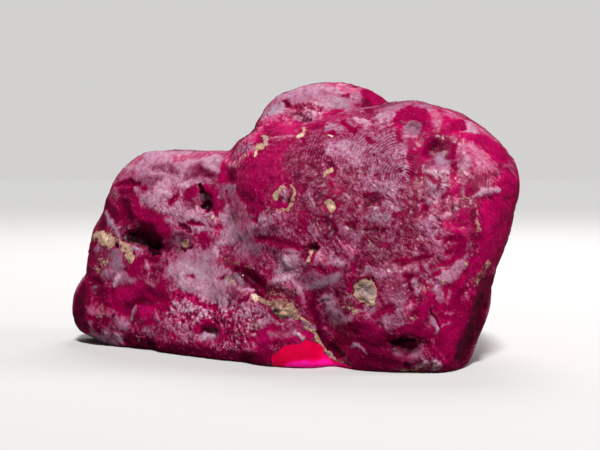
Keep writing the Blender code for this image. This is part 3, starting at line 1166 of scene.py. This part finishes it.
# The skin's lilac is partly its own colour and partly painted sheen.
SKIN_AND_SHEEN = [(0.0, (0.09, 0.010, 0.040)), (0.3, (0.25, 0.065, 0.145)), (0.5, (0.40, 0.17, 0.28)),
        (0.75, (0.58, 0.31, 0.43)), (1.0, (0.82, 0.60, 0.70))]
SLATE = [(0.0, (0.05, 0.030, 0.050)), (0.5, (0.34, 0.21, 0.30)), (1.0, (0.66, 0.57, 0.68))]
ROCK = [(0.0, (0.035, 0.014, 0.012)), (0.3, (0.20, 0.10, 0.070)), (0.55, (0.54, 0.32, 0.215)),
        (0.8, (0.76, 0.51, 0.37)), (1.0, (0.92, 0.74, 0.62))]
# The chip's colours are also its painted glow.
CHIP = [(0.0, (0.46, 0.0, 0.018)), (0.3, (0.70, 0.0, 0.055)), (0.6, (0.90, 0.0, 0.15)),
        (1.0, (1.0, 0.01, 0.36))]
# The colour of the painted glints
GLINT = (0.95, 0.42, 0.66, 1.0)
SHADE = (0.006, 0.001, 0.002, 1.0)
BLACK = (0.0, 0.0, 0.0, 1.0)

# What is the same all over the stone. The emission strength sets the chip's painted glow; elsewhere the glow
# colour is black.
STONE = {"IOR": 1.5, "Specular IOR Level": 0.24, "Subsurface Weight": 0.2,
         "Subsurface Radius": (1.0, 0.08, 0.22), "Subsurface Scale": 1.6 * MM, "Emission Strength": 0.32}
BUMP = {"Strength": 0.9, "Distance": 0.25 * MM}

# The finest patterns
RIPPLE_MIDDLE_MM = (35.3, 0.0, 55.2)
RIPPLE_LENGTH_MM = 0.8
WAVE_RADIANS = 20  # the wave texture's own, at a scale of 1
FLOW_TURN = math.radians(35)
FLOW_STRETCH = 0.45
GLINT_SPACING_MM = 1.0


def ripples(g):
    """Fine rings of growth round the middle of the block's face, from 0 to 1."""
    middle = Vector(RIPPLE_MIDDLE_MM) * MM
    moved = g.add("ShaderNodeVectorMath", {0: g.coords, 1: middle}, operation="SUBTRACT").outputs[0]
    inputs = {"Vector": moved, "Scale": 2 * math.pi / (WAVE_RADIANS * RIPPLE_LENGTH_MM * MM),
              "Distortion": 4.0, "Detail": 2.0, "Detail Scale": 0.4, "Detail Roughness": 0.6}
    wave = g.add("ShaderNodeTexWave", inputs, wave_type="RINGS", rings_direction="Y")
    return wave.outputs["Fac"]


def flow(g):
    """Places drawn out along the grain of the skin, which runs down and to the right."""
    turned = g.add("ShaderNodeVectorRotate", {"Vector": g.coords, "Angle": FLOW_TURN}, rotation_type="Y_AXIS")
    drawn = {0: turned.outputs[0], 1: (1.0, 1.0, FLOW_STRETCH)}
    return g.add("ShaderNodeVectorMath", drawn, operation="MULTIPLY").outputs[0]


def painted_glints(g):
    """1 on small scattered specks: painted glints, in part pale specks of the stone."""
    cells = g.cells(GLINT_SPACING_MM)
    bright = g.step(g.add("ShaderNodeSeparateColor", {"Color": cells["Color"]}).outputs[0], 0.35, 1.0)
    return g.times(g.step(cells["Distance"], 0.28, 0.05), bright)


def centred(g, *cloud):
    return g.math("SUBTRACT", g.cloud(*cloud), 0.5)


def growth_rings(g, patch):
    """The rings, about 0, where they aren't worn away."""
    worn = g.step(g.plus(g.cloud(5.0, 2.0), patch, 0.8), 0.42, 0.55)
    return g.times(g.times(g.math("SUBTRACT", ripples(g), 0.5), g.field("ripple")), worn)


Patterns = namedtuple("Patterns", "blotch patch speck ring grain cavity pored vein pore line knob")


def patterns(g):
    """The patterns that the stone's colours and its fine relief share."""
    patch = centred(g, 2.4, 4.0, 0.6, 0.4)
    grain = g.field("grain")
    pored = g.plus(0.25, g.step(grain, 0.0, 0.7), 0.65)
    drawn = flow(g)
    vein = g.step(g.math("ABSOLUTE", centred(g, 2.2, 3.0, 0.6, 0.8)), 0.035, 0.0)
    pore = g.step(g.cloud(0.9, 2.0, 0.5, 0.3, drawn), 0.48, 0.39)
    line = g.step(g.math("ABSOLUTE", centred(g, 1.9, 2.0, 0.5, 0.5, drawn)), 0.09, 0.0)
    knob = g.math("SUBTRACT", 0.42, g.cells(1.4)["Distance"])
    return Patterns(
        blotch=centred(g, 7.0, 5.0, 0.6, 0.6), patch=patch, speck=centred(g, 0.8, 2.0, 0.5),
        ring=growth_rings(g, patch), grain=grain, cavity=g.field("cavity"), pored=pored,
        vein=g.times(vein, pored), pore=g.times(pore, pored), line=g.times(line, pored),
        knob=g.times(knob, g.step(grain, 0.6, 1.0)))


def skin_level(g, p):
    """How far the skin, whose lilac is partly painted sheen, has grown over the ruby. Knob tops get more of
    it, as painted highlights, and crevices less.
    """
    patch = g.times(p.patch, g.plus(0.16, p.grain, 0.18))
    speck = g.times(p.speck, g.plus(0.32, p.grain, 0.52))
    return g.total(
        g.times(g.field("skin"), 0.34), (p.blotch, 0.36), (patch, 1.0), (p.line, -0.20), (speck, 1.0),
        (p.knob, 0.8), (p.pore, -0.32), (p.ring, 1.0), (p.cavity, -0.16), (p.vein, -0.16))


def brightness(g, p):
    """The place on the colour ramps, about 0.5. It is lower in crevices and between knobs, as painted shade,
    and higher on knob tops, as painted highlights.
    """
    patch = g.times(p.patch, g.plus(0.20, p.grain, 0.2))
    return g.total(0.5, (g.field("tone"), 0.24), (p.blotch, 0.36), (patch, 1.0), (p.line, -0.10),
                   (p.cavity, -0.16), (p.knob, 0.5))


def ruby_and_skin(g, p, skin):
    """The colour of the ruby under its skin, whose lilac is partly painted sheen, with painted glints over
    it, and the slate that the skin has in places.
    """
    tone = brightness(g, p)
    ruby = g.ramp(g.plus(tone, g.times(p.speck, p.grain), 0.45), RUBY)
    lilac = g.ramp(g.total(tone, (p.speck, 0.5), (p.pore, -0.15)), SKIN_AND_SHEEN)
    slate = g.ramp(tone, SLATE)
    greyer = g.math("SUBTRACT", g.cloud(11.0, 3.0, 0.5, 0.5), 0.42)
    cool = g.plus(g.times(g.field("cool"), 0.7), greyer, 1.3)
    colour = g.mix(skin, ruby, g.mix(g.step(cool, 0.0, 1.0), lilac, slate))
    # Painted glints over the ruby and skin
    return g.mix(g.times(g.times(painted_glints(g), p.pored), 0.65), colour, GLINT), slate


def host_rock(g, p, slate):
    """Where host rock shows, its crumbs and its colour."""
    ragged = g.plus(g.times(p.speck, 0.9), p.patch, 0.6)
    crumbly = g.times(ragged, g.step(g.field("rock"), 0.0, 0.2))
    rock = g.step(g.plus(g.field("rock"), crumbly), 0.30, 0.60)
    crumb = g.cloud(0.9, 4.0, 0.65)
    colour = g.ramp(g.plus(g.times(g.field("rock_tone"), 0.3), crumb, 1.1), ROCK)
    return rock, crumb, g.mix(g.times(g.field("cool"), 0.6), colour, slate)


def fine_relief(g, p, level, crumbs, chip):
    """The normals of a surface with knobs, pores, lines, veins and rings, which the chip hardly has."""
    fine = g.times(g.cloud(0.62, 2.0, 0.5), g.plus(0.15, p.grain, 0.9))
    height = g.total(
        fine, (g.cloud(1.5, 3.0, 0.55), 1.2), (p.ring, 2.2), (p.knob, 1.8), (p.pore, -0.45),
        (p.line, -0.5), (p.vein, -0.3), (level, 0.6), (crumbs, 2.0))
    height = g.times(height, g.math("SUBTRACT", 1.0, g.times(chip, CHIP_FLATNESS)))
    return g.add("ShaderNodeBump", {**BUMP, "Height": height}).outputs[0]


def stone_material():
    g = Graph("ruby_and_skin")
    p = patterns(g)
    level = skin_level(g, p)
    skin = g.times(g.step(level, -0.18, g.plus(0.49, p.grain, -0.12)), 0.94)
    colour, slate = ruby_and_skin(g, p, skin)
    rock, crumb, rock_colour = host_rock(g, p, slate)
    colour = g.mix(rock, colour, rock_colour)
    # Painted shade: hollows and pits darken to near black.
    hollow_shade = g.step(g.plus(g.field("hollow_shade"), p.patch, 0.6), 0.0, 0.9)
    colour = g.mix(g.times(hollow_shade, 0.96), colour, SHADE)
    # The chip: a bright hot pink, and a painted glow of the same colour for light shining through it.
    chip = g.step(g.plus(g.field("chip"), p.patch, 0.25), 0.35, 0.5)
    chip_glow = g.ramp(g.total(0.5, (g.field("tone"), 0.4), (p.blotch, 0.3)), CHIP)
    inputs = {
        **STONE, "Base Color": g.mix(chip, colour, chip_glow), "Emission Color": g.mix(chip, BLACK, chip_glow),
        "Roughness": g.total(0.09, (skin, 0.13), (p.patch, 0.20), (rock, 0.45), (chip, 0.10)),
        "Normal": fine_relief(g, p, level, g.times(crumb, rock), chip)}
    return g.surface(g.add("ShaderNodeBsdfPrincipled", inputs))


# The floor's brightness for the camera, for diffuse rays and for all others
FLOOR_SEEN = (0.60, 0.595, 0.585, 1.0)
FLOOR_DIFFUSE = (0.20, 0.20, 0.20, 1.0)
FLOOR_OTHER = (0.015, 0.015, 0.015, 1.0)


def floor_material():
    """Pale to look at, but dim as a reflector, so that it throws no grey veil on the stone."""
    g = Graph("pale_floor")
    rays = g.add("ShaderNodeLightPath").outputs
    colour = g.mix(rays["Is Diffuse Ray"], FLOOR_OTHER, FLOOR_DIFFUSE)
    colour = g.mix(rays["Is Camera Ray"], colour, FLOOR_SEEN)
    return g.surface(g.add("ShaderNodeBsdfDiffuse", {"Color": colour}))


def make_stone(low, high):
    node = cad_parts["ruby_crystal"]
    stone = fine_copy(node)
    fields = carve(stone)
    keep_inside(stone, low, high)
    store(stone.data, fields)
    stone.data.materials.clear()
    stone.data.materials.append(stone_material())
    stone.data.shade_smooth()
    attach(stone, "root")
    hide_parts("ruby_crystal")


FLOOR_RADIUS = 4.0
FLOOR_GAP_MM = 0.2


def make_floor():
    place = (0, 0, -FLOOR_GAP_MM * MM)
    bpy.ops.mesh.primitive_circle_add(vertices=96, radius=FLOOR_RADIUS, fill_type="NGON", location=place)
    floor = bpy.context.object
    floor.name = "floor"
    floor.data.materials.append(floor_material())


def make_camera():
    camera = bpy.data.objects.new("camera", bpy.data.cameras.new("camera"))
    camera.data.lens = LENS_MM
    camera.data.sensor_width = SENSOR_MM
    camera.data.clip_start = 0.01
    camera.location = Vector(CAMERA_PLACE_MM) * MM
    camera.rotation_euler = (math.pi / 2 - CAMERA_DROP, 0, 0)
    bpy.context.scene.collection.objects.link(camera)
    bpy.context.scene.camera = camera


# The world's strength for diffuse, camera and glossy rays
AMBIENT = 0.12
BACKDROP = 0.75
SHEEN = 0.03
BACKDROP_COLOUR = (0.86, 0.85, 0.84, 1.0)
Lamp = namedtuple("Lamp", "name place size watts colour")
LAMPS = [
    Lamp("rim", (0.08, 0.54, 0.72), 0.5, 3.6, (1.0, 0.96, 0.97)),
    Lamp("fill", (0.92, -0.05, 0.40), 0.3, 3.8, (1.0, 0.95, 0.96)),
]
KEY_FROM = (0.02, -0.56, 0.83)
KEY_STRENGTH = 3.9
KEY_SPREAD = math.radians(9)
STONE_MIDDLE = (0, 0, 0.04)


def aim_at_stone(light, place):
    light.location = place
    light.rotation_euler = (Vector(STONE_MIDDLE) - Vector(place)).to_track_quat("-Z", "Y").to_euler()
    bpy.context.scene.collection.objects.link(light)


def make_lights():
    key = bpy.data.objects.new("key", bpy.data.lights.new("key", "SUN"))
    key.data.energy = KEY_STRENGTH
    key.data.angle = KEY_SPREAD
    aim_at_stone(key, KEY_FROM)
    for lamp in LAMPS:
        light = bpy.data.objects.new(lamp.name, bpy.data.lights.new(lamp.name, "AREA"))
        light.data.shape = "DISK"
        light.data.size = lamp.size
        light.data.energy = lamp.watts
        light.data.color = lamp.colour
        light.visible_camera = False
        light.visible_glossy = False
        aim_at_stone(light, lamp.place)
    bpy.context.scene.world = pale_world()


def pale_world():
    """A pale backdrop that lights the stone only softly."""
    world = bpy.data.worlds.new("studio")
    world.use_nodes = True
    nodes = world.node_tree.nodes
    links = world.node_tree.links
    background = nodes["Background"]
    background.inputs["Color"].default_value = BACKDROP_COLOUR
    rays = nodes.new("ShaderNodeLightPath")
    strength = background.inputs["Strength"]
    for ray, amount in (("Is Camera Ray", BACKDROP), ("Is Diffuse Ray", AMBIENT), ("Is Glossy Ray", SHEEN)):
        share = nodes.new("ShaderNodeMath")
        share.operation = "MULTIPLY_ADD"
        share.inputs[1].default_value = amount
        links.new(rays.outputs[ray], share.inputs[0])
        links.new(share.outputs[0], strength)
        strength = share.inputs[2]
    strength.default_value = 0.0
    return world


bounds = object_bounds()
noise.seed_set(NOISE_SEED)
make_stone(*bounds)
make_floor()
make_camera()
make_lights()
bpy.context.scene.view_settings.view_transform = "Standard"
